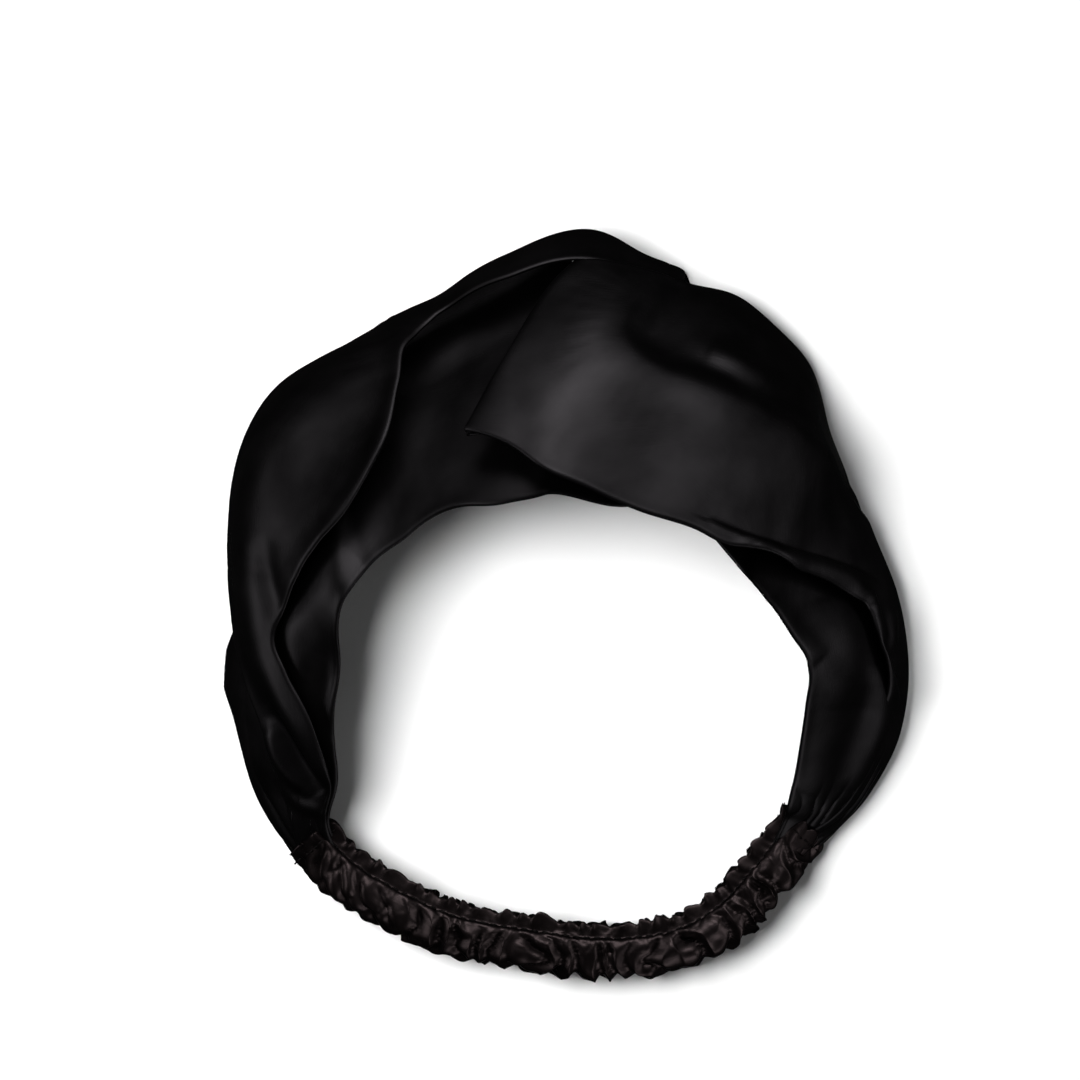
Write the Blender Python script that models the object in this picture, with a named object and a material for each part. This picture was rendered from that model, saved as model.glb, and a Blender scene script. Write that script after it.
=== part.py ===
"""Knotted headband: two satin bands hooked through each other, closed by a gathered elastic.

The band lies on a table as a ring, with +Z up. +Y points from the elastic to the knot
and +X from the left band to the right one. The origin is under the middle of the ring.
Each band is a satin tube doubled back on itself at the knot, so it has a front and a
back layer. The gathered casing holds the elastic and joins the free ends of the bands.
"""
import math

import bmesh
import bpy
from mathutils import Vector

MM = 0.001

# The ring of the bands, from the left join over the knot to the right join. Each station
# holds the foot of the cloth on the table (x, y), its raised inner edge (x, y) and the
# height of that edge, all in millimetres. Station 6 is the middle of the knot.
STATIONS = [
    ((-68.5, -57.5), (-59.5, -51.0), 20.0),
    ((-77.5, -41.0), (-60.0, -36.0), 30.0),
    ((-82.0, -13.0), (-61.0, -14.0), 41.0),
    ((-79.5, 20.0), (-56.0, 5.0), 48.0),
    ((-69.0, 50.0), (-40.0, 16.0), 54.0),
    ((-38.5, 74.0), (-21.0, 25.0), 58.0),
    ((0.0, 89.8), (-4.0, 31.0), 60.0),
    ((37.0, 75.0), (26.0, 21.0), 59.0),
    ((60.0, 50.0), (47.0, 8.0), 54.0),
    ((74.0, 18.0), (57.0, -8.0), 47.0),
    ((82.0, -13.0), (61.5, -25.0), 40.0),
    ((77.5, -40.0), (60.0, -41.5), 30.0),
    ((67.5, -54.0), (57.5, -51.5), 20.0),
]
KNOT = 6.0
KNOT_END = 1.4              # stations from the middle of the knot to its sides
SIDE_START = 3.0            # and to where a band's two layers lie close together
KNOT_AXIS = (0.0, 62.0 * MM, 30.0 * MM)

CLOTH = 3.2 * MM            # a satin tube pressed flat, both plies and the air in them
LAYER_AT_KNOT = 6.5 * MM    # level offset of a layer from the middle of the knot
LAYER_AT_SIDE = 3.7 * MM    # the same beside the knot, where only two layers lie together
LAYER_AT_JOIN = 2.6 * MM
FOOT = -0.03                # a little under the table level, so the foot is flattened there
CROWN = 0.62                # below 1 the cloth rises steeply from its foot and flattens above
STEPS = 4                   # stations added between two given ones
ACROSS = 6                  # strips across the width of a band

# Each band from its join through the front layer, round the bend and back along the rear
# layer. Each row gives the outer edge of the loop (station, share of the way up), its
# inner edge at the slot, and the level of the layer: 1 in front, -1 behind.
LEFT_LOOP = [
    ((0.0, FOOT), (0.0, 1.00), 1.0),
    ((1.0, FOOT), (1.0, 1.00), 1.0),
    ((2.0, FOOT), (2.0, 1.00), 1.0),
    ((3.0, FOOT), (3.0, 0.97), 1.0),
    ((4.0, FOOT), (4.0, 0.82), 1.0),
    ((4.6, FOOT), (4.7, 0.52), 1.0),
    ((5.2, FOOT), (5.3, 0.27), 1.0),
    ((5.9, 0.00), (5.9, 0.20), 1.0),
    ((6.5, 0.03), (6.15, 0.21), 0.7),
    ((6.85, 0.20), (6.25, 0.35), -0.1),
    ((6.95, 0.50), (6.28, 0.46), 0.0),
    ((6.85, 0.80), (6.25, 0.54), -0.4),
    ((6.5, 0.95), (6.15, 0.57), -0.8),
    ((5.9, 1.00), (5.9, 0.58), -1.0),
    ((5.3, 1.00), (5.4, 0.55), -1.0),
    ((4.7, 1.00), (4.8, 0.38), -1.0),
    ((4.0, 1.00), (4.0, 0.15), -1.0),
    ((3.0, 1.00), (3.0, FOOT), -1.0),
    ((2.0, 1.00), (2.0, FOOT), -1.0),
    ((1.0, 1.00), (1.0, FOOT), -1.0),
    ((0.0, 1.00), (0.0, FOOT), -1.0),
]
RIGHT_LOOP = [
    ((12.0, 1.00), (12.0, FOOT), 1.0),
    ((11.0, 1.00), (11.0, FOOT), 1.0),
    ((10.0, 1.00), (10.0, FOOT), 1.0),
    ((9.0, 1.00), (9.0, FOOT), 1.0),
    ((8.0, 1.00), (8.0, 0.02), 1.0),
    ((7.3, 1.00), (7.2, 0.14), 1.0),
    ((6.7, 1.00), (6.6, 0.31), 1.0),
    ((6.1, 1.00), (6.1, 0.35), 1.0),
    ((5.5, 0.94), (5.85, 0.36), 0.9),
    ((5.15, 0.76), (5.75, 0.38), 0.7),
    ((5.05, 0.50), (5.70, 0.40), 0.1),
    ((5.15, 0.24), (5.75, 0.42), -0.5),
    ((5.5, 0.05), (5.85, 0.42), -0.8),
    ((6.1, 0.00), (6.1, 0.43), -1.0),
    ((6.7, FOOT), (6.6, 0.47), -1.0),
    ((7.3, FOOT), (7.2, 0.66), -1.0),
    ((8.0, FOOT), (8.0, 0.88), -1.0),
    ((9.0, FOOT), (9.0, 1.00), -1.0),
    ((10.0, FOOT), (10.0, 1.00), -1.0),
    ((11.0, FOOT), (11.0, 1.00), -1.0),
    ((12.0, FOOT), (12.0, 1.00), -1.0),
]

CASING_PATH = [
    (-64.4, -59.2), (-56.5, -68.6), (-43.7, -77.0), (-29.7, -83.4), (-12.0, -87.0),
    (8.5, -89.4), (28.0, -87.4), (41.5, -79.5), (50.5, -69.0), (59.6, -56.6),
]
CASING_STEPS = 4
CASING_WIDTH = 15.4 * MM
CASING_HEIGHT = 19.0 * MM
CASING_CORNER = 4.5 * MM
CHANNEL_WIDTH = 4.4 * MM
CHANNEL_HEIGHT = 14.6 * MM
CHANNEL_CORNER = 1.6 * MM
ELASTIC_THICKNESS = 1.4 * MM
ELASTIC_WIDTH = 12.0 * MM
ELASTIC_CORNER = 0.4 * MM
ELASTIC_END = 0.6 * MM

THREAD = 0.5 * MM
CLEAR = 0.35 * MM
CHANNEL_ROW_START = 0.45     # in rows of the casing's path
CHANNEL_ROW_INSET = 2.6 * MM
JOIN_INSET = 2.2 * MM
JOIN_ROW_FOOT = 4.0 * MM

SATIN_BLACK = (0.013, 0.012, 0.013)
CASING_BLACK = (0.012, 0.010, 0.010)
ELASTIC_BLACK = (0.02, 0.02, 0.02)
THREAD_BLACK = (0.010, 0.010, 0.010)


def clear_scene():
    for thing in list(bpy.data.objects):
        bpy.data.objects.remove(thing, do_unlink=True)


def material(name, colour, roughness):
    made = bpy.data.materials.new(name)
    made.use_nodes = True
    shader = made.node_tree.nodes["Principled BSDF"]
    shader.inputs["Base Color"].default_value = (*colour, 1.0)
    shader.inputs["Roughness"].default_value = roughness
    shader.inputs["Metallic"].default_value = 0.0
    return made


def spline(points, at):
    """A point on the smooth curve through rows of numbers, at row number `at`."""
    last = len(points) - 1
    first = min(int(max(at, 0.0)), last - 1)
    share = min(max(at, 0.0), last) - first
    near = [points[min(max(first + k, 0), last)] for k in (-1, 0, 1, 2)]
    out = []
    for a, b, c, d in zip(*near):
        out.append(
            b + 0.5 * share * (c - a + share * (2 * a - 5 * b + 4 * c - d
                               + share * (3 * (b - c) + d - a)))
        )
    return out


RING = [(*foot, *edge, height) for foot, edge, height in STATIONS]


def outward(station):
    """The level direction away from the middle of the ring, square to its path."""
    before = spline(RING, station - 0.25)
    after = spline(RING, station + 0.25)
    along_x = (after[0] + after[2]) - (before[0] + before[2])
    along_y = (after[1] + after[3]) - (before[1] + before[3])
    return Vector((-along_y, along_x, 0.0)).normalized()


def layer_offset(station):
    """How far a layer of level 1 lies from the middle of the cloth."""
    away = abs(station - KNOT)
    if away <= KNOT_END:
        return LAYER_AT_KNOT
    if away <= SIDE_START:
        share = (away - KNOT_END) / (SIDE_START - KNOT_END)
        return LAYER_AT_KNOT + (LAYER_AT_SIDE - LAYER_AT_KNOT) * share
    share = (away - SIDE_START) / (KNOT - SIDE_START)
    return LAYER_AT_SIDE + (LAYER_AT_JOIN - LAYER_AT_SIDE) * share


def on_ring(station, rise, level):
    """World point at a station, a share of the way up the cloth, on a layer's level."""
    foot_x, foot_y, edge_x, edge_y, height = spline(RING, station)
    place = Vector((
        (foot_x + (edge_x - foot_x) * rise) * MM,
        (foot_y + (edge_y - foot_y) * rise) * MM,
        height * (rise ** CROWN if rise > 0 else rise) * MM,
    ))
    return place + outward(station) * level * layer_offset(station)


def new_object(name, verts, faces, made):
    mesh = bpy.data.meshes.new(name)
    mesh.from_pydata(verts, [], faces)
    tidy = bmesh.new()
    tidy.from_mesh(mesh)
    bmesh.ops.recalc_face_normals(tidy, faces=tidy.faces)
    bmesh.ops.triangulate(tidy, faces=tidy.faces)
    tidy.to_mesh(mesh)
    tidy.free()
    mesh.materials.append(made)
    mesh.shade_smooth()
    mesh.set_sharp_from_angle(angle=math.radians(40))
    thing = bpy.data.objects.new(name, mesh)
    bpy.context.scene.collection.objects.link(thing)
    return thing


def band(name, loop, made):
    """A satin tube as a flat strip with thickness, doubled back through the knot."""
    rows = [(*outer, *slot, level) for outer, slot, level in loop]
    count = (len(rows) - 1) * STEPS
    middle = []
    for i in range(count + 1):
        a, rise_a, b, rise_b, level = spline(rows, i / STEPS)
        strip = []
        for j in range(ACROSS + 1):
            share = j / ACROSS
            strip.append(on_ring(
                a + (b - a) * share,
                min(max(rise_a + (rise_b - rise_a) * share, FOOT), 1.0),
                level,
            ))
        middle.append(strip)

    def side(sign):
        """The strip's face on one side, half the cloth's thickness off its middle."""
        rows_out = []
        for i, strip in enumerate(middle):
            before = middle[max(i - 1, 0)]
            after = middle[min(i + 1, count)]
            out = []
            for j, place in enumerate(strip):
                along = after[j] - before[j]
                over = strip[min(j + 1, ACROSS)] - strip[max(j - 1, 0)]
                normal = along.cross(over).normalized()
                moved = place + normal * sign * CLOTH / 2
                moved.z = max(moved.z, 0.0)
                out.append(moved)
            rows_out.append(out)
        return rows_out

    one, two = side(1.0), side(-1.0)
    rings = [upper + lower[::-1] for upper, lower in zip(one, two)]
    verts = [tuple(place) for ring in rings for place in ring]
    size = len(rings[0])
    faces = []
    for i in range(count):
        for j in range(size):
            near, far = i * size, (i + 1) * size
            faces.append((near + j, near + (j + 1) % size, far + (j + 1) % size, far + j))
    for start in (0, count * size):
        for j in range(ACROSS):
            faces.append((start + j, start + j + 1, start + size - 2 - j, start + size - 1 - j))
    return new_object(name, verts, faces, made)


def casing_frame(at):
    """Centre of the casing on the table, its direction, and the level way outwards."""
    here = spline(CASING_PATH, at)
    before = spline(CASING_PATH, at - 0.1)
    after = spline(CASING_PATH, at + 0.1)
    along = Vector((after[0] - before[0], after[1] - before[1], 0.0)).normalized()
    outside = Vector((along.y, -along.x, 0.0))
    return Vector((here[0] * MM, here[1] * MM, 0.0)), along, outside


def rounded_outline(width, height, corner, arc_steps):
    """A rounded rectangle round the origin, as (outwards, up) pairs."""
    pairs = []
    for turn, (sx, sz) in enumerate([(1, 1), (-1, 1), (-1, -1), (1, -1)]):
        for step in range(arc_steps + 1):
            angle = math.radians(90 * (turn + step / arc_steps))
            pairs.append((
                sx * (width / 2 - corner) + corner * math.cos(angle),
                sz * (height / 2 - corner) + corner * math.sin(angle),
            ))
    return pairs


def swept(outline, inset=0.0):
    """Rings of the outline along the casing's path, its ends drawn in by the inset."""
    rings = []
    count = (len(CASING_PATH) - 1) * CASING_STEPS
    for i in range(count + 1):
        centre, along, outside = casing_frame(i / CASING_STEPS)
        shift = inset if i == 0 else -inset if i == count else 0.0
        centre = centre + along * shift
        rings.append([
            centre + outside * out + Vector((0, 0, CASING_HEIGHT / 2 + up))
            for out, up in outline
        ])
    return rings


def tube_faces(rings, size, start, inwards):
    faces = []
    for i in range(rings - 1):
        for j in range(size):
            a = start + i * size + j
            b = start + i * size + (j + 1) % size
            face = (a, b, b + size, a + size)
            faces.append(face[::-1] if inwards else face)
    return faces


def elastic_casing(made):
    """The gathered satin tube, open at both ends, with a flat channel for the elastic."""
    outer = swept(rounded_outline(CASING_WIDTH, CASING_HEIGHT, CASING_CORNER, 2))
    inner = swept(rounded_outline(CHANNEL_WIDTH, CHANNEL_HEIGHT, CHANNEL_CORNER, 2))
    size = len(outer[0])
    verts = [tuple(place) for ring in outer + inner for place in ring]
    half = len(outer) * size
    faces = tube_faces(len(outer), size, 0, False) + tube_faces(len(inner), size, half, True)
    for j in range(size):
        follow = (j + 1) % size
        far = half - size
        faces.append((j, follow, half + follow, half + j))
        faces.append((far + j, far + follow, half + far + follow, half + far + j))
    return new_object("elastic_casing", verts, faces, made)


def elastic_strip(made):
    """The flat elastic that runs through the channel from join to join."""
    outline = rounded_outline(ELASTIC_THICKNESS, ELASTIC_WIDTH, ELASTIC_CORNER, 1)
    rings = swept(outline, ELASTIC_END)
    size = len(outline)
    verts = [tuple(place) for ring in rings for place in ring]
    faces = tube_faces(len(rings), size, 0, False)
    faces.append(tuple(range(size)))
    faces.append(tuple(range(len(verts) - size, len(verts))))
    return new_object("elastic_strip", verts, faces, made)


def thread_along(name, centres, overs, made):
    """One continuous thread of square section through the given points."""
    verts, faces = [], []
    for i, (centre, over) in enumerate(zip(centres, overs)):
        along = centres[min(i + 1, len(centres) - 1)] - centres[max(i - 1, 0)]
        up = along.cross(over).normalized()
        for side, rise in ((-1, -1), (1, -1), (1, 1), (-1, 1)):
            verts.append(tuple(centre + (over * side + up * rise) * THREAD / 2))
    faces += tube_faces(len(centres), 4, 0, False)
    faces.append((0, 1, 2, 3))
    faces.append(tuple(range(len(verts) - 4, len(verts))))
    return new_object(name, verts, faces, made)


def channel_stitching(made):
    """The row that closes the elastic's channel, along the casing's inner top edge."""
    centres, overs = [], []
    rise = Vector((0, 0, CASING_HEIGHT + CLEAR + THREAD / 2))
    end = len(CASING_PATH) - 1
    count = end * CASING_STEPS
    length = end - 2 * CHANNEL_ROW_START
    for i in range(count + 1):
        centre, _, outside = casing_frame(CHANNEL_ROW_START + length * i / count)
        centres.append(centre - outside * CHANNEL_ROW_INSET + rise)
        overs.append(outside)
    return thread_along("channel_stitching", centres, overs, made)


def join_stitching(name, at, inwards, made):
    """The row over the end of the casing that holds the band's gathered ends in it."""
    centre, along, outside = casing_frame(at)
    reach = CLEAR + THREAD / 2
    outline = rounded_outline(
        CASING_WIDTH + 2 * reach, CASING_HEIGHT + 2 * reach, CASING_CORNER + reach, 3
    )
    foot = CASING_HEIGHT / 2 - JOIN_ROW_FOOT
    side = CASING_WIDTH / 2 + reach
    upper = [(out, up) for out, up in outline if up > 0]
    centres = [
        centre + along * (inwards * JOIN_INSET) + outside * out
        + Vector((0, 0, CASING_HEIGHT / 2 + up))
        for out, up in [(side, -foot)] + upper + [(-side, -foot)]
    ]
    return thread_along(name, centres, [along] * len(centres), made)


clear_scene()
satin = material("black_satin", SATIN_BLACK, 0.38)
casing_satin = material("gathered_satin", CASING_BLACK, 0.5)
elastic = material("black_elastic", ELASTIC_BLACK, 0.8)
thread = material("black_thread", THREAD_BLACK, 0.6)

band("left_band", LEFT_LOOP, satin)
elastic_casing(casing_satin)
elastic_strip(elastic)
channel_stitching(thread)
join_stitching("left_join_stitching", 0, 1, thread)

# The right half swings about the knot as the elastic stretches.
knot_axis = bpy.data.objects.new("knot_axis", None)
knot_axis.location = KNOT_AXIS
bpy.context.scene.collection.objects.link(knot_axis)
for piece in (
    band("right_band", RIGHT_LOOP, satin),
    join_stitching("right_join_stitching", len(CASING_PATH) - 1, -1, thread),
):
    piece.parent = knot_axis
    piece.location = -knot_axis.location
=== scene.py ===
"""Knotted satin headband lying on a pale table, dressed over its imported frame.

+Z is up, +Y points from the elastic to the knot and +X from the left band to the right.
Lengths in lists are millimetres and are scaled by MM where a mesh is made.
"""
import math

import bmesh
import bpy
import numpy as np
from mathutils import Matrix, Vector, noise


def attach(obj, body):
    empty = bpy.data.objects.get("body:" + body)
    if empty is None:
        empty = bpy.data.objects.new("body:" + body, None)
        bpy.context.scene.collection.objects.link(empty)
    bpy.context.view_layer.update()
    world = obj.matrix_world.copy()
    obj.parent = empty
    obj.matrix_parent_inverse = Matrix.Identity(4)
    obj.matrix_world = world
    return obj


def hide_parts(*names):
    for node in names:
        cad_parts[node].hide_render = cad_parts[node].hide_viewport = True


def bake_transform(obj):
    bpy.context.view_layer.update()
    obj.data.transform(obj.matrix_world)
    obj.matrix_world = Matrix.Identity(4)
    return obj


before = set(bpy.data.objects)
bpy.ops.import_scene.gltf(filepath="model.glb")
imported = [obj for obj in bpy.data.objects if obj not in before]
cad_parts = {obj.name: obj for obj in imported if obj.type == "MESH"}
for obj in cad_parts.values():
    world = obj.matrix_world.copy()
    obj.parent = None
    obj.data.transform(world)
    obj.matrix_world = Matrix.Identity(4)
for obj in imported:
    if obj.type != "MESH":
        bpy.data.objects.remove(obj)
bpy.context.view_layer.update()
MM = 0.001

# --- The ring that the cloth follows ---------------------------------------------------
# The two bands together make a crown of satin that leans inwards: its foot lies on the
# table, its inner edge stands up to 61 mm high at the knot, and it falls to the height of
# the elastic casing at the joins. Stations run from the left join over the knot.

RING = np.array([
    # foot x, foot y, inner edge x, inner edge y, height
    (-61.5, -69.5, -55.5, -63.5, 14),
    (-70.5, -62.2, -59.8, -54.1, 19), (-78.7, -48.2, -58.3, -43.1, 26),
    (-86.1, -27.8, -58.5, -29.1, 34), (-86.3, -11.2, -58.5, -12.5, 40),
    (-85.0, 13.0, -56.5, 1.5, 46), (-80.7, 43.6, -48.8, 10.5, 50),
    (-62.9, 65.3, -39.9, 17.3, 54), (-34.8, 80.6, -25.9, 23.2, 58),
    (-14.4, 92.6, -11.9, 27.5, 60), (6.0, 96.9, -1.7, 28.6, 61),
    (26.9, 85.7, 18.7, 20.7, 60), (45.5, 77.3, 34.0, 14.8, 58),
    (59.5, 61.5, 45.5, 9.7, 55), (66.7, 37.2, 50.6, 1.5, 51),
    (75.4, 20.7, 55.2, -6.1, 47), (83.3, 4.1, 59.5, -13.8, 43),
    (86.6, -13.8, 60.6, -24.0, 38), (84.5, -31.6, 58.8, -36.7, 31),
    (77.9, -45.6, 56.2, -48.2, 25), (68.5, -56.6, 55.2, -52.5, 19),
    (58.5, -66.5, 51.5, -61.5, 14),
], float)
STEEPNESS = 0.62        # below 1 the cloth rises steeply from its foot and flattens above
FLOOR_GAP = 0.3         # the lowest cloth lies this far above the table
EYE = (-6.8, 16.8, 1400.0)      # the outlines below are laid out as seen from here


def spline(rows, at):
    """Smooth curve through rows of numbers, read at each row number in `at`."""
    rows = np.asarray(rows, float)
    at = np.clip(np.asarray(at, float), 0, len(rows) - 1)
    first = np.minimum(at.astype(int), len(rows) - 2)
    t = (at - first)[..., None]
    a, b, c, d = (rows[np.clip(first + k, 0, len(rows) - 1)] for k in (-1, 0, 1, 2))
    return b + 0.5 * t * (c - a + t * (2 * a - 5 * b + 4 * c - d + t * (3 * (b - c) + d - a)))


def ease(t):
    """0 below 0, 1 above 1 and a smooth rise between."""
    t = np.clip(t, 0, 1)
    return t * t * (3 - 2 * t)


def drift(a, b, seed):
    """Smooth noise, from about -1 to 1, over two arrays of places."""
    a, b = np.broadcast_arrays(np.asarray(a, float), np.asarray(b, float))
    values = [noise.noise((x, y, seed)) for x, y in zip(a.ravel(), b.ravel())]
    return np.array(values).reshape(a.shape) * 1.6


def on_crown(station, rise):
    """Points of the crown's surface at stations and shares of the way to its inner edge."""
    row = spline(RING, station)
    rise = np.asarray(rise, float)[..., None]
    plan = row[..., 0:2] + (row[..., 2:4] - row[..., 0:2]) * rise
    up = row[..., 4:5] * np.maximum(rise, 0.0) ** STEEPNESS
    return np.concatenate([plan, up], axis=-1)


def crown_normal(station, rise):
    """The outward normal of the crown's surface."""
    rise = np.clip(rise, 0.04, 1.0)
    along = on_crown(station + 0.12, rise) - on_crown(station - 0.12, rise)
    over = on_crown(station, rise + 0.03) - on_crown(station, rise - 0.03)
    normal = np.cross(over, along)
    return normal / np.linalg.norm(normal, axis=-1, keepdims=True)


def hold(rise):
    """How much of a layer's lift is left near the foot, where the layers meet."""
    return 0.45 + 0.55 * ease(np.asarray(rise) / 0.3)


def seen(points):
    """Plan places of points as they look from the eye."""
    near = EYE[2] / (EYE[2] - points[..., 2:3])
    return EYE[0:2] + (points[..., 0:2] - EYE[0:2]) * near


GRID_STATION, GRID_RISE = np.meshgrid(np.arange(0, 21.001, 0.05), np.arange(-0.04, 1.14, 0.01))
GRID_BASE = on_crown(GRID_STATION, GRID_RISE)
GRID_NORMAL = crown_normal(GRID_STATION, GRID_RISE)


def place_on_ring(x, y, lift):
    """Station and rise where a layer with this lift is seen at (x, y)."""
    plan = seen(GRID_BASE + GRID_NORMAL * (lift * hold(GRID_RISE))[..., None])
    gap = (plan[..., 0] - x) ** 2 + (plan[..., 1] - y) ** 2
    i, j = np.unravel_index(np.argmin(gap), gap.shape)
    i, j = min(max(i, 1), gap.shape[0] - 2), min(max(j, 1), gap.shape[1] - 2)
    by_station = (plan[i, j + 1] - plan[i, j - 1]) / 2
    by_rise = (plan[i + 1, j] - plan[i - 1, j]) / 2
    steps = np.linalg.lstsq(np.stack([by_station, by_rise], axis=1),
                            np.array([x, y]) - plan[i, j], rcond=None)[0]
    steps = np.clip(steps, -1, 1)
    return GRID_STATION[i, j] + 0.05 * steps[0], GRID_RISE[i, j] + 0.01 * steps[1]


# --- The satin bands -------------------------------------------------------------------
# Each band is a tube of black polyester satin, sewn inside out, turned and pressed flat.
# It is doubled back at the knot, so a front and a rear layer run from the knot to its
# join, and the two loops hook through each other. The ends are pleated into the casing.

# Each row crosses the band: a point on the loop's outer edge, one on its inner edge, and
# how far the layer is lifted off the crown. The rows run through the front layer, round
# the bend and back through the rear layer.
LEFT_ROWS = [
    ((-62.0, -68.5), (-57.0, -64.0), 0.5),
    ((-68.5, -60.2), (-60.8, -54.1), 1.2), ((-71.5, -48.2), (-59.3, -44.4), 1.8),
    ((-76.6, -32.9), (-63.4, -29.6), 2.6), ((-81.2, -20.1), (-69.7, -16.3), 2.8),
    ((-84.0, -6.6), (-72.8, -6.1), 2.8), ((-85.0, 7.9), (-67.7, 7.7), 2.8),
    ((-84.8, 23.2), (-57.0, 23.2), 3.2), ((-82.0, 40.3), (-47.3, 40.3), 3.8),
    ((-72.3, 56.9), (-42.7, 56.4), 4.5), ((-55.2, 67.4), (-40.4, 66.6), 5.2),
    ((-34.8, 78.6), (-32.0, 76.0), 6.0), ((-15.7, 89.0), (-13.9, 83.8), 6.5),
    ((5.0, 95.6), (6.0, 87.6), 6.5), ((17.5, 90.2), (16.4, 85.0), 6.0),
    ((25.4, 87.0), (22.6, 82.8), 4.6), ((29.3, 85.2), (26.4, 82.2), 1.5),
    ((31.5, 81.5), (25.5, 78.5), -5.5), ((35.0, 62.0), (15.7, 60.0), -9.0),
    ((30.0, 36.0), (12.9, 48.4), -7.0), ((17.0, 25.5), (7.5, 48.9), -5.0),
    ((-1.7, 28.3), (3.0, 66.0), -5.0), ((-15.7, 25.8), (0.0, 91.0), -6.5),
    ((-29.7, 24.5), (-14.0, 88.5), -9.0), ((-41.2, 16.8), (-33.0, 79.5), -9.5),
    ((-49.6, 10.2), (-50.6, 68.3), -6.5), ((-56.2, 1.5), (-60.3, 44.9), -2.5),
    ((-58.5, -12.5), (-73.1, 15.6), -1.2), ((-59.0, -24.0), (-86.1, -12.5), -1.0),
    ((-58.5, -35.4), (-84.3, -29.1), -0.5), ((-58.3, -46.9), (-78.7, -47.4), -0.5),
    ((-60.1, -53.8), (-70.0, -61.7), -1.0), ((-56.2, -64.2), (-61.3, -69.3), -1.0),
]
RIGHT_ROWS = [
    ((58.0, -66.0), (52.5, -62.0), 0.5),
    ((68.5, -56.6), (64.5, -55.0), 1.0), ((77.9, -45.6), (74.0, -44.5), 1.0),
    ((84.3, -31.6), (80.0, -29.0), 1.4), ((86.6, -13.8), (79.5, -13.5), 2.0),
    ((83.8, 2.3), (75.8, -0.8), 2.6), ((76.4, 18.6), (70.5, 3.2), 3.2),
    ((67.7, 36.0), (56.0, 9.8), 4.0), ((64.1, 53.8), (43.0, 15.0), 4.0),
    ((54.4, 69.6), (31.5, 19.9), 4.0), ((41.0, 79.6), (18.7, 24.0), 4.0),
    ((27.5, 81.6), (6.0, 29.6), 4.2), ((15.4, 84.6), (-6.8, 35.4), 4.8),
    ((4.4, 87.4), (-23.8, 44.1), 5.2), ((3.2, 87.6), (-24.8, 43.9), 3.6),
    ((4.7, 86.6), (-23.0, 43.4), 1.4), ((18.7, 84.0), (-5.0, 45.0), -2.0),
    ((34.0, 79.0), (18.7, 44.0), -10.5), ((47.0, 68.0), (34.0, 21.9), -12.0),
    ((58.5, 54.0), (43.0, 10.5), -8.0), ((68.5, 32.1), (49.9, 2.0), -3.0),
    ((76.9, 11.7), (55.2, -6.6), -1.5), ((83.0, -6.1), (60.3, -15.8), -0.8),
    ((84.3, -21.4), (60.3, -25.2), -0.4), ((81.2, -35.4), (58.5, -36.7), -0.4),
    ((75.4, -46.9), (56.5, -46.9), 0.0), ((67.7, -56.1), (55.5, -52.3), 0.8),
    ((58.0, -66.0), (52.0, -61.8), 0.8),
]
ROW_STEPS = 16          # mesh rows between two given rows
CLOTH_STRIPS = 80       # mesh columns across a band
HALF_CLOTH = 0.5        # half the thickness of the pressed tube
RIM_SWELL = 0.12        # how much the turned edges swell
RIM_REACH = 1.6
RIM_TAPER = 1.2         # the cloth closes to its turned edge over this width
CRUMPLE = 0.35          # height of the faint unevenness all over the satin
CRUMPLE_FINENESS = 0.045        # its waves for each millimetre


def closed_rings(name, rings, uv):
    """A closed body through rings of points, capped at both ends, with its cloth UV."""
    count, size = rings.shape[0] - 1, rings.shape[1]
    faces = []
    for i in range(count):
        for j in range(size):
            k = (j + 1) % size
            faces.append((i * size + j, i * size + k, (i + 1) * size + k, (i + 1) * size + j))
    faces.append(tuple(range(size)))
    faces.append(tuple(range(count * size, (count + 1) * size)))
    mesh = bpy.data.meshes.new(name)
    mesh.from_pydata((rings.reshape(-1, 3) * MM).tolist(), [], faces)
    layer = mesh.uv_layers.new(name="cloth")
    loop_vertex = np.zeros(len(mesh.loops), int)
    mesh.loops.foreach_get("vertex_index", loop_vertex)
    layer.data.foreach_set("uv", (uv.reshape(-1, 2) * MM)[loop_vertex].reshape(-1))
    shell = bmesh.new()
    shell.from_mesh(mesh)
    bmesh.ops.recalc_face_normals(shell, faces=shell.faces)
    shell.to_mesh(mesh)
    shell.free()
    mesh.shade_smooth()
    piece = bpy.data.objects.new(name, mesh)
    bpy.context.scene.collection.objects.link(piece)
    return piece


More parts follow.
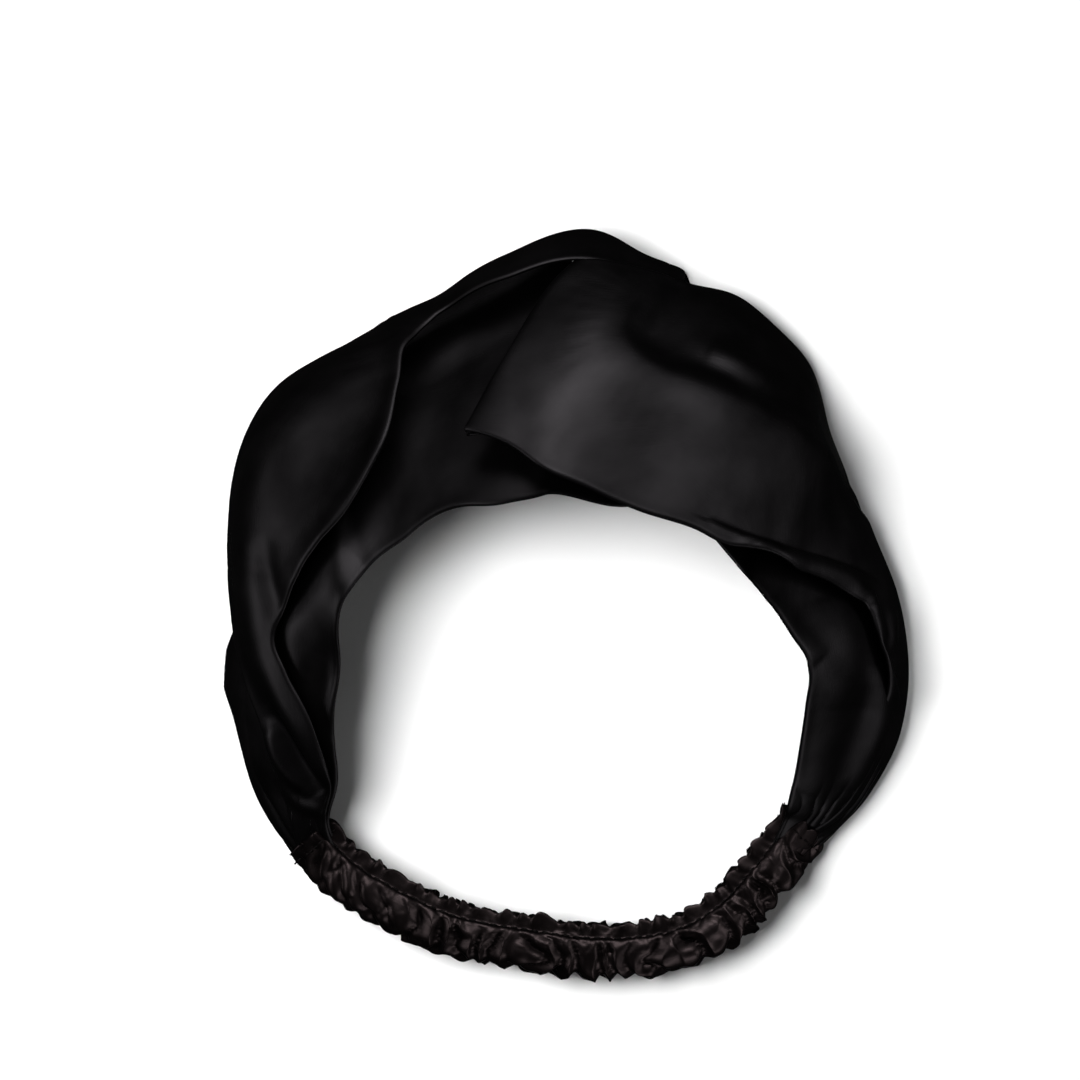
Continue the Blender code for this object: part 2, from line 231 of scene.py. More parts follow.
def band_mesh(name, rows, shape):
    """A closed tube of cloth along the rows; `shape` gives the lift of its folds."""
    spots = []
    for outer, inner, lift in rows:
        spots.append((*place_on_ring(*outer, lift), *place_on_ring(*inner, lift), lift))
    count = (len(rows) - 1) * ROW_STEPS
    row_at = np.arange(count + 1) / ROW_STEPS
    spot = spline(spots, row_at)
    share = 0.5 - 0.5 * np.cos(np.linspace(0, math.pi, CLOTH_STRIPS + 1))
    share = 0.5 * share + 0.5 * np.linspace(0, 1, CLOTH_STRIPS + 1)
    station = spot[:, 0:1] + (spot[:, 2:3] - spot[:, 0:1]) * share
    rise = np.clip(spot[:, 1:2] + (spot[:, 3:4] - spot[:, 1:2]) * share, -0.02, 1.12)
    base = on_crown(station, rise)
    normal = crown_normal(station, rise)
    row_grid = np.repeat(row_at[:, None], CLOTH_STRIPS + 1, axis=1)
    share_grid = np.repeat(share[None, :], count + 1, axis=0)
    lift = spot[:, 4:5] * hold(rise)
    place = seen(base + normal * lift[..., None])
    lift = lift + shape(place, row_grid, share_grid)
    middle = base + normal * lift[..., None]

    along = np.gradient(middle, axis=0)
    over = np.gradient(middle, axis=1)
    facing = np.cross(along, over)
    facing /= np.maximum(np.linalg.norm(facing, axis=-1, keepdims=True), 1e-9)
    width = np.cumsum(np.linalg.norm(np.diff(middle, axis=1), axis=-1), axis=1)
    width = np.concatenate([np.zeros((count + 1, 1)), width], axis=1)
    edge = np.minimum(width, width[:, -1:] - width)
    half = HALF_CLOTH + RIM_SWELL * np.exp(-((edge - RIM_REACH * 0.6) / RIM_REACH) ** 2)
    closing = np.clip(edge / RIM_TAPER, 0, 1)
    half *= np.sqrt(closing * (2 - closing))
    top = middle + facing * half[..., None]
    bottom = middle - facing * half[..., None]
    rings = np.concatenate([top, bottom[:, -2:0:-1]], axis=1)
    rings[..., 2] = np.maximum(rings[..., 2], FLOOR_GAP)

    length = np.concatenate([[0], np.cumsum(np.linalg.norm(
        np.diff(middle[:, CLOTH_STRIPS // 2], axis=0), axis=-1))])
    across = np.concatenate([width, width[:, -2:0:-1]], axis=1)
    uv = np.stack([across, np.repeat(length[:, None], rings.shape[1], axis=1)], axis=-1)
    return closed_rings(name, rings, uv)


def hollow(place, x, y, long, short, turn, depth):
    """A dent with an oval outline, `long` by `short`, turned anticlockwise in degrees."""
    c, s = math.cos(math.radians(turn)), math.sin(math.radians(turn))
    dx, dy = place[..., 0] - x, place[..., 1] - y
    along, over = (dx * c + dy * s) / long, (dy * c - dx * s) / short
    return -depth * np.exp(-(along ** 2 + over ** 2) ** 1.3)


def beside(place, points):
    """Distance to a line in plan, which side of it, and the share of the way along it."""
    best = np.full(place.shape[:-1], 1e9)
    side = np.zeros(place.shape[:-1])
    share = np.zeros(place.shape[:-1])
    points = spline(points, np.linspace(0, len(points) - 1, 6 * (len(points) - 1) + 1))
    total = len(points) - 1
    for n in range(total):
        start, step = points[n], points[n + 1] - points[n]
        dx, dy = place[..., 0] - start[0], place[..., 1] - start[1]
        t = np.clip((dx * step[0] + dy * step[1]) / (step @ step), 0, 1)
        gap = np.hypot(dx - t * step[0], dy - t * step[1])
        closer = gap < best
        best = np.where(closer, gap, best)
        side = np.where(closer, np.sign(step[0] * dy - step[1] * dx), side)
        share = np.where(closer, (n + t) / total, share)
    return best, side, share


def ridge(place, points, width, height):
    """A fold that follows a line in plan and fades out at its ends."""
    gap, side, share = beside(place, points)
    fade = np.sqrt(np.sin(math.pi * np.clip(share, 0.03, 0.97)))
    return height * np.exp(-(gap / width) ** 2) * fade


def crest(place, points, near, far, height):
    """A fold line that is wide on the right of its path and falls quickly on the left."""
    gap, side, share = beside(place, points)
    width = np.where(side > 0, far, near)
    fade = np.sqrt(np.sin(math.pi * np.clip(share, 0.03, 0.97)))
    return height * fade * np.exp(-(gap / width) ** 2)


def overlap(place, points, drop, reach):
    """A fold lying over the cloth on the right of a line: a sharp step, eased away."""
    gap, side, share = beside(place, points)
    fade = np.sqrt(np.sin(math.pi * np.clip(share, 0.02, 0.98)))
    low = -drop * np.exp(-gap / reach) * (side < 0) * ease(gap / 1.7)
    high = 0.45 * drop * np.exp(-(gap / (0.8 * reach)) ** 2) * (side >= 0)
    return fade * (low + high)


def pleats(row, share, start, end, height, count, seed):
    """Uneven folds along the band that grow from row `start` to full at row `end`."""
    grown = ease((row - start) / (end - start))
    turns = count * share + 0.7 * drift(row * 0.45, share * 2.2, seed)
    turns = turns + 0.25 * drift(row * 1.3, share * 5.0, seed + 3)
    wave = np.abs(np.sin(math.pi * turns))
    strength = 0.75 + 0.5 * drift(row * 0.6, share * 3.0, seed + 7)
    inside = np.sqrt(np.clip(share * (1 - share) * 9, 0, 1))
    return height * grown * strength * (wave ** 0.7 - 0.6) * inside


def crumple(place, seed):
    """The faint unevenness of satin that has been worn and handled."""
    across, along = place[..., 0] * CRUMPLE_FINENESS, place[..., 1] * CRUMPLE_FINENESS
    return CRUMPLE * drift(across, along, seed)


def left_shape(place, row, share):
    """The left band's folds: lobe, rim, light strip and its slit, leaf and pleats."""
    front = np.clip((15.5 - row) / 1.5, 0, 1)
    rear = np.clip((row - 21.5) / 1.5, 0, 1)
    low = front * ease((10.0 - row) / 1.5)
    lift = front * hollow(place, -60.5, 45.0, 23.0, 13.0, 62, 4.6)
    lift += front * ridge(place, [(-80, 8), (-77, 30), (-68, 48), (-52, 63)], 7.0, 2.4)
    lift += front * ridge(place, [(-42, 70), (-42, 60), (-48, 40), (-57, 24), (-69, 7)], 3.4, 2.2)
    lift -= low * ridge(place, [(-76, 18), (-75, 8), (-71.8, -5)], 2.4, 1.3)
    lift -= front * ridge(place, [(-31, 76), (-33, 60), (-39, 42), (-47, 28), (-58, 13)], 7.0, 4.5)
    lift += low * ridge(place, [(-79, 14), (-77, -6), (-71, -22), (-66, -32), (-60, -47)], 4.6, 3.2)
    lift -= low * ridge(place, [(-74, -25), (-68, -37), (-60.5, -47)], 2.3, 2.4)
    lift += low * ridge(place, [(-75, -31), (-72, -39), (-66, -46)], 1.8, 2.2)
    lift += low * ridge(place, [(-72, -43), (-68, -49), (-61, -52)], 1.6, 1.2)
    lift += rear * ridge(place, [(-53, 13), (-62, 3), (-68.5, -8), (-67, -20)], 4.6, 1.3)
    lift += rear * hollow(place, -61.0, -17.0, 8.0, 3.5, 82, 2.0)
    lift += rear * ridge(place, [(-70, -2), (-66.5, -17), (-61, -36)], 3.5, 2.0)
    lift += pleats(row, share, 2.4, 1.0, 0.9, 2.5, 0.4)
    lift += pleats(row, share, 28.0, 31.0, 1.2, 5.0, 11.3)
    lift += crumple(place, 21.0)
    return lift


def right_shape(place, row, share):
    """The right band's folds: panel, brow and hollow, crease, turned strip and pleats."""
    front = np.clip((14.0 - row) / 1.0, 0, 1)
    rear = np.clip((row - 16.5) / 1.0, 0, 1)
    low = front * ease((9.0 - row) / 1.5)
    brow = [(27, 84), (16, 77), (12, 67), (19, 58), (39, 50), (57, 41), (70, 27)]
    lift = front * crest(place, brow, 13.0, 5.5, 5.5)
    lift += front * ridge(place, [(35, 64), (42, 60.5), (50, 56)], 3.6, 2.8)
    lift += front * overlap(place, [(76, 7), (66, 10.5), (52, 14.8), (36, 21.5)], 1.5, 2.4)
    lift += front * ridge(place, [(46, 15), (58, 10.5), (71, 6), (77, 0)], 2.6, 2.2)
    lift += low * ridge(place, [(76, -6), (79.5, -14), (82.5, -24)], 1.7, 2.2)
    lift += low * ridge(place, [(76, 3), (78.5, -4), (80, -9)], 1.3, 1.1)
    lift += low * ridge(place, [(82, 0), (82.5, -8), (81, -12)], 1.2, 0.9)
    lift += rear * ridge(place, [(50, 2), (58, -9), (63, -14)], 3.5, 1.2)
    lift += rear * ridge(place, [(66, 3), (70, -10), (70, -26)], 6.0, 1.5)
    lift += rear * ridge(place, [(61, -14), (66, -24), (64, -38), (61, -48)], 5.0, 1.6)
    lift += rear * ridge(place, [(77.5, -14), (79, -23), (76.5, -34), (71, -47)], 3.0, 2.4)
    lift += pleats(row, share, 3.0, 1.2, 0.8, 3.0, 30.2)
    lift += pleats(row, share, 24.0, 26.5, 0.9, 4.0, 42.1)
    lift += crumple(place, 51.0)
    return lift


def satin_material(name, colour, roughness):
    """Satin: long glossy floats of yarn over dark dye, with slightly uneven sheen."""
    made = bpy.data.materials.new(name)
    made.use_nodes = True
    nodes, links = made.node_tree.nodes, made.node_tree.links
    shader = nodes["Principled BSDF"]
    shader.inputs["Metallic"].default_value = 0.9
    shader.inputs["Specular IOR Level"].default_value = 0.1
    shader.inputs["Specular Tint"].default_value = (0.12, 0.12, 0.12, 1)
    shader.inputs["Anisotropic"].default_value = 0.3
    coords = nodes.new("ShaderNodeTexCoord")

    mottle = nodes.new("ShaderNodeTexNoise")
    mottle.inputs["Scale"].default_value = 70
    mottle.inputs["Detail"].default_value = 4
    links.new(coords.outputs["UV"], mottle.inputs["Vector"])
    dye = nodes.new("ShaderNodeValToRGB")
    dye.color_ramp.elements[0].position = 0.3
    dye.color_ramp.elements[0].color = (*(0.7 * c for c in colour), 1)
    dye.color_ramp.elements[1].position = 0.7
    dye.color_ramp.elements[1].color = (*(1.35 * c for c in colour), 1)
    links.new(mottle.outputs["Fac"], dye.inputs["Fac"])
    links.new(dye.outputs["Color"], shader.inputs["Base Color"])
    gloss = nodes.new("ShaderNodeMapRange")
    gloss.inputs["To Min"].default_value = roughness - 0.05
    gloss.inputs["To Max"].default_value = roughness + 0.05
    links.new(mottle.outputs["Fac"], gloss.inputs["Value"])
    links.new(gloss.outputs["Result"], shader.inputs["Roughness"])

    floats = nodes.new("ShaderNodeMapping")
    floats.inputs["Scale"].default_value = (2600, 260, 1)
    links.new(coords.outputs["UV"], floats.inputs["Vector"])
    yarn = nodes.new("ShaderNodeTexNoise")
    yarn.inputs["Scale"].default_value = 1
    yarn.inputs["Detail"].default_value = 2
    links.new(floats.outputs["Vector"], yarn.inputs["Vector"])
    bump = nodes.new("ShaderNodeBump")
    bump.inputs["Strength"].default_value = 0.25
    bump.inputs["Distance"].default_value = 0.0001
    links.new(yarn.outputs["Fac"], bump.inputs["Height"])
    links.new(bump.outputs["Normal"], shader.inputs["Normal"])
    return made


band_satin = satin_material("band_satin", (0.0031, 0.0029, 0.0031), 0.47)
left_band = band_mesh("left_satin_band", LEFT_ROWS, left_shape)
right_band = band_mesh("right_satin_band", RIGHT_ROWS, right_shape)
for piece, node in ((left_band, "left_band"), (right_band, "right_band")):
    piece.data.materials.append(band_satin)
    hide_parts(node)
    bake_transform(piece)

# --- The gathered casing ---------------------------------------------------------------
# A tube of the same satin, longer than the elastic inside it, so it is gathered into
# puffs with sharp creases. A row of stitches along the upper side holds the elastic in
# its channel and leaves a scalloped frill of spare cloth along the inner edge.

CASING_PATH = [
    (-64.2, -58.4), (-56.0, -67.0), (-43.2, -74.8), (-29.3, -81.0), (-12.0, -84.4),
    (8.5, -86.8), (27.5, -84.8), (40.6, -77.6), (49.8, -67.6), (59.2, -56.0),
]
CASING_HALF_WIDTH = 6.4
CASING_HALF_HEIGHT = 8.3
CASING_MIDDLE = 9.6             # height of the tube's axis
CASING_SQUARENESS = 2.7
CASING_ROW_GAP = 0.5            # mesh rows along the tube
STITCH_LINE = 4.3               # inwards from the axis, on the upper side
FRILL_TALL = 2.5
FRILL_SCALLOP = 5.2
PUFF_PITCH = 6.0
SIMPLE_END = 24.0               # the left end has plain slanting pleats over this length
COLLAR_LENGTH = 5.0             # the loose cloth beyond the seam at each end
LEFT_COLLAR = 0.15              # how much of it is frilled
RIGHT_COLLAR = 0.8
END_SLOPE = 14.0                # the outer side sinks to the table over this length
END_SINK = 0.42                 # by this share of its height


def casing_section():
    """Places round the tube, its outward normals and distances from the stitch line."""
    angle = np.linspace(0, 2 * math.pi, 2001)
    power = 2 / CASING_SQUARENESS
    w = CASING_HALF_WIDTH * np.sign(np.cos(angle)) * np.abs(np.cos(angle)) ** power
    h = CASING_HALF_HEIGHT * np.sign(np.sin(angle)) * np.abs(np.sin(angle)) ** power
    arc = np.concatenate([[0], np.cumsum(np.hypot(np.diff(w), np.diff(h)))])
    stitch = arc[np.argmin(np.where(h > 0, np.abs(w - STITCH_LINE), 99))]
    around = arc[-1]
    fine = np.arange(-7.0, 15.0, 0.34)
    coarse = np.arange(15.0, around - 7.3, 0.85)
    v = np.concatenate([fine, coarse])
    at = (v + stitch) % around
    place = np.stack([np.interp(at, arc, w), np.interp(at, arc, h)], axis=-1)
    step = 0.4
    after, before = (at + step) % around, (at - step) % around
    ahead = np.stack([np.interp(after, arc, w), np.interp(after, arc, h)], -1)
    behind = np.stack([np.interp(before, arc, w), np.interp(before, arc, h)], -1)
    along = ahead - behind
    normal = np.stack([along[:, 1], -along[:, 0]], axis=-1)
    normal /= np.linalg.norm(normal, axis=-1, keepdims=True)
    v = np.where(v > around / 2, v - around, v)
    return place, normal, v


def path_frame(points, gap):
    """Places, directions and inward directions along a smooth path, at even gaps."""
    dense = spline(points, np.linspace(0, len(points) - 1, 1500))
    arc = np.concatenate([[0], np.cumsum(np.linalg.norm(np.diff(dense, axis=0), axis=-1))])
    s = np.linspace(0, arc[-1], int(arc[-1] / gap) + 1)
    places = np.stack([np.interp(s, arc, dense[:, k]) for k in (0, 1)], axis=-1)
    ahead = np.gradient(places, axis=0)
    ahead /= np.linalg.norm(ahead, axis=-1, keepdims=True)
    inward = np.stack([-ahead[:, 1], ahead[:, 0]], axis=-1)
    return s, places, ahead, inward


def gathered_casing():
    """The casing's mesh, and the line of its stitches in millimetres."""
    section, outward, v = casing_section()
    s, centre, ahead, inward = path_frame(CASING_PATH, CASING_ROW_GAP)
    total = s[-1]
    up = np.array([0.0, 0.0, 1.0])
    ahead = np.concatenate([ahead, np.zeros((len(s), 1))], axis=-1)[:, None]
    inward = np.concatenate([inward, np.zeros((len(s), 1))], axis=-1)[:, None]
    centre = np.concatenate([centre, np.full((len(s), 1), CASING_MIDDLE)], axis=-1)[:, None]
    s, v = s[:, None], v[None, :]
    rest = centre + inward * section[None, :, 0:1] + up * section[None, :, 1:2]
    normal = inward * outward[None, :, 0:1] + up * outward[None, :, 1:2]

    outer = ease(v / 5.0) * (v > 0) + ease((-4.0 - v) / 4.0) * (v < 0)
    under = ease((24.0 - np.abs(v)) / 6.0)
    plain = 1 - ease((s - SIMPLE_END) / 8.0)
    skew = 0.09 * drift(s * 0.035, 0.0, 61.0) * v
    turns = s / PUFF_PITCH + skew + 0.75 * drift(s * 0.075, v * 0.07, 62.0)
    turns = turns + 0.3 * drift(s * 0.22, v * 0.2, 63.0)
    puff = np.abs(np.sin(math.pi * turns)) ** 0.6
    lean = np.sin(2 * math.pi * turns)
    strong = (1.0 + 0.55 * drift(s * 0.11, v * 0.11, 64.0)) * (1 - 0.75 * plain)
    small_turns = s / 3.4 + 0.9 * drift(s * 0.3, v * 0.25, 65.0) + 0.12 * v
    small = np.abs(np.sin(math.pi * small_turns)) ** 0.7
    slant_turns = (s - 0.9 * v) / 6.4 + 0.25 * drift(s * 0.1, v * 0.1, 66.0)
    slant = np.abs(np.sin(math.pi * slant_turns)) ** 0.8

    rise = under * outer * strong * 2.9 * (puff - 0.66)
    rise = rise + 0.4 * np.exp(-(v / 5.0) ** 2) * (small - 0.5) * (1 - 0.6 * plain)
    rise = rise + under * outer * plain * 1.5 * (slant - 0.55)
    rise = rise + 0.3 * under * drift(s * 0.25, v * 0.25, 67.0)
    rise = rise - 0.7 * np.exp(-((v - 0.2) / 0.8) ** 2)
    slide = 0.55 * under * outer * strong * lean

    turn = s / FRILL_SCALLOP + 0.55 * drift(s * 0.12, 0.0, 68.0)
    scallop = np.abs(np.sin(math.pi * turn)) ** 0.8
    tall = FRILL_TALL * (0.5 + 0.6 * scallop) * (1 + 0.35 * drift(s * 0.13, 0.0, 69.0))
    crest = np.exp(-((v + 2.4) / 1.15) ** 2)
    frill_up = 0.78 * inward + 0.62 * up
    frill_side = -0.62 * inward + 0.78 * up
    places = rest + normal * rise[..., None] + ahead * slide[..., None]
    places = places + frill_up * (tall * crest)[..., None]
    places = places + frill_side * (0.5 * np.sin(2 * math.pi * turn) * crest)[..., None]
    places = places + ahead * (0.5 * np.sin(2 * math.pi * turn + 0.8) * crest)[..., None]

    for end, toward in ((0.0, -1.0), (total, 1.0)):
        near = ease(1 - np.abs(s - end) / COLLAR_LENGTH)
        frilled = LEFT_COLLAR if toward < 0 else RIGHT_COLLAR
        collar_turns = v / 5.5 + 0.5 * drift(v * 0.2, 0.0, 70.0 + toward)
        collar = frilled * np.abs(np.sin(math.pi * collar_turns)) ** 0.6
        places = places + ahead * (toward * near * (0.6 + 2.2 * collar))[..., None]
        places = places + normal * (near * (0.9 * collar - 0.1))[..., None]

    ends = 1 - ease(np.minimum(s, total - s) / END_SLOPE)
    low_side = ease((2.5 - section[None, :, 0]) / 9.0)
    places[..., 2] = places[..., 2] * (1 - END_SINK * ends * low_side)
    places[..., 2] = np.maximum(places[..., 2], FLOOR_GAP)
    tucked = []
    for row, toward in ((0, 1.0), (-1, -1.0)):
        heart = centre[row]
        rim = heart + (places[row] - heart) * 0.84 + ahead[row] * toward * 0.8
        deep = heart + (rest[row] - heart) * 0.72 + ahead[row] * toward * 5.0
        tucked.append([deep, rim])
    rings = np.stack(tucked[0] + list(places) + tucked[1][::-1])
    run = np.concatenate([[-5, -1], s[:, 0], [total + 1, total + 5]])
    uv = np.stack(np.broadcast_arrays(v, run[:, None]), axis=-1)
    piece = closed_rings("gathered_casing", rings, uv)
    top = np.abs(v[0] - 4.0) < 11.0
    seam_rows = (5, len(places) - 6)
    seams = [places[row][top] + normal[row][top] * 0.2 for row in seam_rows]
    return piece, places[:, np.argmin(np.abs(v[0] - 0.2))], seams


casing, stitch_line, end_seams = gathered_casing()
# The casing is the same satin as the bands, but its base colour is set lighter than theirs. This is
# painted sheen that makes the gathered casing read brighter than the bands. Its tint is also set
# warmer.
casing_satin_painted_sheen = satin_material("casing_satin_painted_sheen", (0.0056, 0.0043, 0.0044), 0.44)
casing.data.materials.append(casing_satin_painted_sheen)
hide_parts("elastic_casing")
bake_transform(casing)

# --- The elastic -----------------------------------------------------------------------
# A woven elastic tape, twelve millimetres wide and set on edge in the casing's channel.
# Its covered rubber threads run lengthways and show as fine cords on both faces.

ELASTIC_HALF_WIDE = 5.9
ELASTIC_HALF_THICK = 0.6
ELASTIC_CORDS = 9
CORD_STEPS = 8
CORD_RISE = 0.16
ELASTIC_ROW_GAP = 1.2


def woven_elastic():
    """A ribbed tape along the casing's path, closed at both ends."""
    s, centre, ahead, inward = path_frame(CASING_PATH, ELASTIC_ROW_GAP)
    inner = slice(4, -4)
    s, centre, ahead, inward = s[inner], centre[inner], ahead[inner], inward[inner]
    share = np.linspace(-1, 1, ELASTIC_CORDS * CORD_STEPS + 1)
    cord = CORD_RISE * np.abs(np.sin(0.5 * math.pi * ELASTIC_CORDS * (share + 1)))
    thick = ELASTIC_HALF_THICK - 0.1 + cord
    face = np.stack([thick, share * ELASTIC_HALF_WIDE], axis=-1)
    section = np.concatenate([face, (face * (-1, 1))[::-1]])
    inward = np.concatenate([inward, np.zeros((len(s), 1))], axis=-1)[:, None]
    centre = np.concatenate([centre, np.full((len(s), 1), CASING_MIDDLE)], axis=-1)[:, None]
    up = np.array([0.0, 0.0, 1.0])
    rings = centre + inward * section[None, :, 0:1] + up * section[None, :, 1:2]
    run = np.concatenate([share, share[::-1] + 2]) * ELASTIC_HALF_WIDE
    uv = np.stack(np.broadcast_arrays(run[None, :], s[:, None]), axis=-1)
    return closed_rings("woven_elastic", rings, uv)


elastic = woven_elastic()
rubber = bpy.data.materials.new("covered_rubber")
rubber.use_nodes = True
rubber_nodes, rubber_links = rubber.node_tree.nodes, rubber.node_tree.links
rubber_shader = rubber_nodes["Principled BSDF"]
rubber_shader.inputs["Roughness"].default_value = 0.75
rubber_shader.inputs["Specular IOR Level"].default_value = 0.25
rubber_coords = rubber_nodes.new("ShaderNodeTexCoord")
picks = rubber_nodes.new("ShaderNodeTexWave")
picks.bands_direction = "Y"
picks.inputs["Scale"].default_value = 420
picks.inputs["Distortion"].default_value = 1.5
rubber_links.new(rubber_coords.outputs["UV"], picks.inputs["Vector"])
pick_dye = rubber_nodes.new("ShaderNodeValToRGB")
pick_dye.color_ramp.elements[0].color = (0.006, 0.006, 0.006, 1)
pick_dye.color_ramp.elements[1].color = (0.022, 0.021, 0.022, 1)
rubber_links.new(picks.outputs["Fac"], pick_dye.inputs["Fac"])
rubber_links.new(pick_dye.outputs["Color"], rubber_shader.inputs["Base Color"])
pick_bump = rubber_nodes.new("ShaderNodeBump")
pick_bump.inputs["Strength"].default_value = 0.4
pick_bump.inputs["Distance"].default_value = 0.0002
rubber_links.new(picks.outputs["Fac"], pick_bump.inputs["Height"])
rubber_links.new(pick_bump.outputs["Normal"], rubber_shader.inputs["Normal"])
elastic.data.materials.append(rubber)
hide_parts("elastic_strip")
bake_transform(elastic)

# --- The stitching ---------------------------------------------------------------------
# Lockstitch in black polyester thread: one row holds the elastic's channel all along the
# casing, and a short row across each end of the casing closes it over the pleated satin.
# Every stitch is a small bead of thread that dips into the cloth at both ends.

thread = bpy.data.materials.new("black_thread")
thread.use_nodes = True
thread_nodes, thread_links = thread.node_tree.nodes, thread.node_tree.links
thread_shader = thread_nodes["Principled BSDF"]
thread_shader.inputs["Roughness"].default_value = 0.65
thread_shader.inputs["Specular IOR Level"].default_value = 0.0
thread_coords = thread_nodes.new("ShaderNodeTexCoord")
ply = thread_nodes.new("ShaderNodeTexNoise")
ply.inputs["Scale"].default_value = 3500
thread_links.new(thread_coords.outputs["Object"], ply.inputs["Vector"])
ply_dye = thread_nodes.new("ShaderNodeValToRGB")
ply_dye.color_ramp.elements[0].color = (0.002, 0.0018, 0.0018, 1)
ply_dye.color_ramp.elements[1].color = (0.008, 0.007, 0.007, 1)
thread_links.new(ply.outputs["Fac"], ply_dye.inputs["Fac"])
thread_links.new(ply_dye.outputs["Color"], thread_shader.inputs["Base Color"])


def stitch_tree():
    """Geometry Nodes that lay stitches at an even pitch along an edge path."""
    tree = bpy.data.node_groups.new("lockstitch", "GeometryNodeTree")
    sockets = tree.interface
    sockets.new_socket("Path", in_out="INPUT", socket_type="NodeSocketGeometry")
    sockets.new_socket("Pitch", in_out="INPUT", socket_type="NodeSocketFloat")
    sockets.new_socket("Stitch Length", in_out="INPUT", socket_type="NodeSocketFloat")
    sockets.new_socket("Thread Thickness", in_out="INPUT", socket_type="NodeSocketFloat")
    sockets.new_socket("Thread", in_out="INPUT", socket_type="NodeSocketMaterial")
    sockets.new_socket("Stitches", in_out="OUTPUT", socket_type="NodeSocketGeometry")
    nodes, links = tree.nodes, tree.links
    given = nodes.new("NodeGroupInput")
    result = nodes.new("NodeGroupOutput")
    curve = nodes.new("GeometryNodeMeshToCurve")
    even = nodes.new("GeometryNodeResampleCurve")
    even.mode = "LENGTH"
    tangent = nodes.new("GeometryNodeInputTangent")
    turn = nodes.new("FunctionNodeAlignRotationToVector")
    turn.axis = "X"
    bead = nodes.new("GeometryNodeMeshUVSphere")
    bead.inputs["Segments"].default_value = 6
    bead.inputs["Rings"].default_value = 5
    bead.inputs["Radius"].default_value = 0.5
    size = nodes.new("ShaderNodeCombineXYZ")
    lay = nodes.new("GeometryNodeInstanceOnPoints")
    real = nodes.new("GeometryNodeRealizeInstances")
    smooth = nodes.new("GeometryNodeSetShadeSmooth")
    dress = nodes.new("GeometryNodeSetMaterial")
    links.new(given.outputs["Path"], curve.inputs["Mesh"])
    links.new(curve.outputs["Curve"], even.inputs["Curve"])
    links.new(given.outputs["Pitch"], even.inputs["Length"])
    links.new(tangent.outputs["Tangent"], turn.inputs["Vector"])
    links.new(given.outputs["Stitch Length"], size.inputs["X"])
    links.new(given.outputs["Thread Thickness"], size.inputs["Y"])
    links.new(given.outputs["Thread Thickness"], size.inputs["Z"])
    links.new(even.outputs["Curve"], lay.inputs["Points"])
    links.new(bead.outputs["Mesh"], lay.inputs["Instance"])
    links.new(turn.outputs["Rotation"], lay.inputs["Rotation"])
    links.new(size.outputs["Vector"], lay.inputs["Scale"])
    links.new(lay.outputs["Instances"], real.inputs["Geometry"])
    links.new(real.outputs["Geometry"], smooth.inputs["Geometry"])
    links.new(smooth.outputs["Geometry"], dress.inputs["Geometry"])
    links.new(given.outputs["Thread"], dress.inputs["Material"])
    links.new(dress.outputs["Geometry"], result.inputs["Stitches"])
    return tree


LOCKSTITCH = stitch_tree()


def stitches(name, line, pitch, long, thick):
    """A plain mesh of stitches laid along a line of points in millimetres."""
    path = bpy.data.meshes.new(name + "_path")
    links = [(n, n + 1) for n in range(len(line) - 1)]
    path.from_pydata((np.asarray(line) * MM).tolist(), links, [])
    guide = bpy.data.objects.new(name + "_path", path)
    bpy.context.scene.collection.objects.link(guide)
    layer = guide.modifiers.new("lockstitch", "NODES")
    layer.node_group = LOCKSTITCH
    named = {item.name: item.identifier for item in LOCKSTITCH.interface.items_tree}
    layer[named["Pitch"]] = pitch * MM
    layer[named["Stitch Length"]] = long * MM
    layer[named["Thread Thickness"]] = thick * MM
    layer[named["Thread"]] = thread
    guide.update_tag()
    depsgraph = bpy.context.evaluated_depsgraph_get()
    mesh = bpy.data.meshes.new_from_object(guide.evaluated_get(depsgraph))
    mesh.name = name
    bpy.data.objects.remove(guide)
    bpy.data.meshes.remove(path)
    piece = bpy.data.objects.new(name, mesh)
    bpy.context.scene.collection.objects.link(piece)
    return piece


def smoothed(line, span):
    """The line with its small waves averaged out."""
    line = np.asarray(line, float)
    padded = np.concatenate([np.repeat(line[:1], span, 0), line, np.repeat(line[-1:], span, 0)])
    return np.stack([padded[k:k + len(line)] for k in range(2 * span + 1)]).mean(axis=0)


channel_line = smoothed(stitch_line, 2)[6:-6] + np.array([0, 0, 0.25])
channel = stitches("channel_stitches", channel_line, pitch=2.6, long=2.1, thick=0.5)
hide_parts("channel_stitching")
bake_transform(channel)

for seam, side in zip(end_seams, ("left", "right")):
    join_line = smoothed(seam, 2)
    join = stitches(side + "_join_stitches", join_line, pitch=2.4, long=1.9, thick=0.5)
    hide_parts(side + "_join_stitching")
    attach(join, side + "_half")

# --- The table, the light and the camera -----------------------------------------------
# A white sheet of paper under soft studio light from the upper left, seen from above.
# The paper and the key light are kept out of the satin's reflections so that it stays
# near black, and the other lamps light only its gloss.

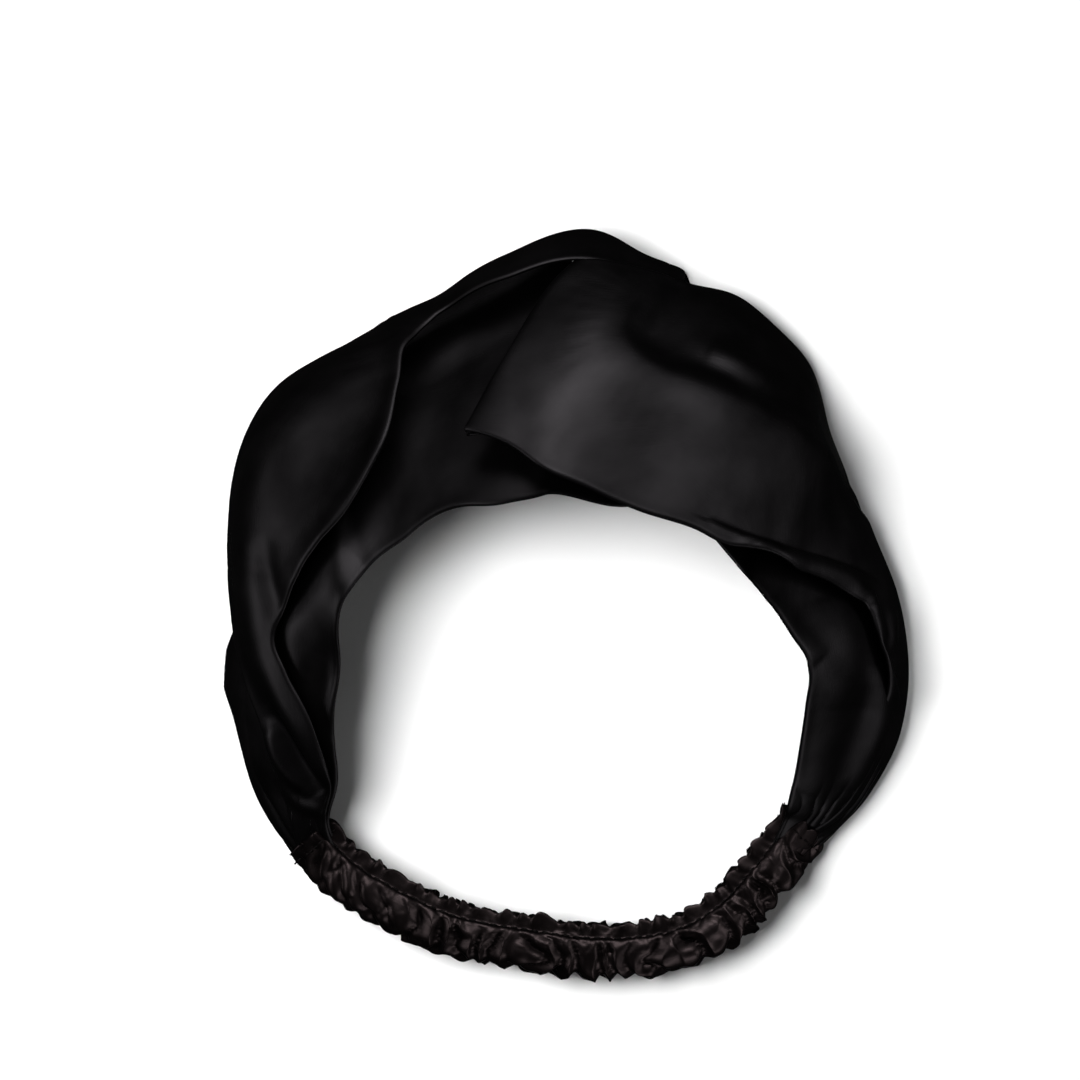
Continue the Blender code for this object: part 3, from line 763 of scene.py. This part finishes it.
TABLE_REACH = 1.5
PAPER_WHITE = (0.92, 0.92, 0.92, 1)
table_mesh = bpy.data.meshes.new("table")
near, far = -TABLE_REACH, TABLE_REACH
table_mesh.from_pydata(
    [(near, near, 0), (far, near, 0), (far, far, 0), (near, far, 0)], [], [(0, 1, 2, 3)],
)
table = bpy.data.objects.new("table", table_mesh)
bpy.context.scene.collection.objects.link(table)
paper = bpy.data.materials.new("white_paper")
paper.use_nodes = True
paper_shader = paper.node_tree.nodes["Principled BSDF"]
paper_shader.inputs["Base Color"].default_value = PAPER_WHITE
paper_shader.inputs["Roughness"].default_value = 0.9
table_mesh.materials.append(paper)
table.visible_glossy = False


def soft_box(name, place, aim, width, height, power):
    """A rectangular lamp at `place`, in metres, turned towards `aim`."""
    light = bpy.data.lights.new(name, "AREA")
    light.shape = "RECTANGLE"
    light.size, light.size_y = width, height
    light.energy = power
    box = bpy.data.objects.new(name, light)
    bpy.context.scene.collection.objects.link(box)
    box.location = place
    toward = [a - b for a, b in zip(aim, place)]
    box.rotation_euler = Vector(toward).to_track_quat("-Z", "Y").to_euler()
    return box


LOW_AIM = (0, 0, 0.02)
key = soft_box("key_light", (-0.43, 0.13, 1.1), (0, 0, 0), 0.5, 0.5, power=19)
key.visible_glossy = False
sheen = soft_box("sheen_light", (0.08, 0.82, 0.80), (0.02, 0.05, 0.04), 0.9, 0.45, power=39)
panel = soft_box("panel_light", (-0.16, 0.80, 0.58), (0, 0.03, 0.05), 0.45, 0.35, power=16)
edge = soft_box("edge_light", (-1.0, 0.05, 0.28), LOW_AIM, 0.6, 0.4, power=17)
low = soft_box("low_light", (0.5, -1.0, 0.35), LOW_AIM, 0.6, 0.3, power=17)
side = soft_box("side_light", (1.0, -0.05, 0.28), LOW_AIM, 0.6, 0.4, power=16)
for lamp in (sheen, panel, edge, low, side):
    lamp.visible_diffuse = False
world = bpy.data.worlds.new("studio")
bpy.context.scene.world = world
world.use_nodes = True
room = world.node_tree.nodes["Background"]
room.inputs["Color"].default_value = (1, 1, 1, 1)
room.inputs["Strength"].default_value = 0.08

CAMERA_HEIGHT = 1.4
camera_data = bpy.data.cameras.new("camera")
camera_data.lens = 184
camera = bpy.data.objects.new("camera", camera_data)
bpy.context.scene.collection.objects.link(camera)
camera.location = (-0.0068, 0.0168, CAMERA_HEIGHT)
camera_data.clip_start = 0.05
camera_data.clip_end = 10
bpy.context.scene.camera = camera
bpy.context.scene.view_settings.view_transform = "Standard"
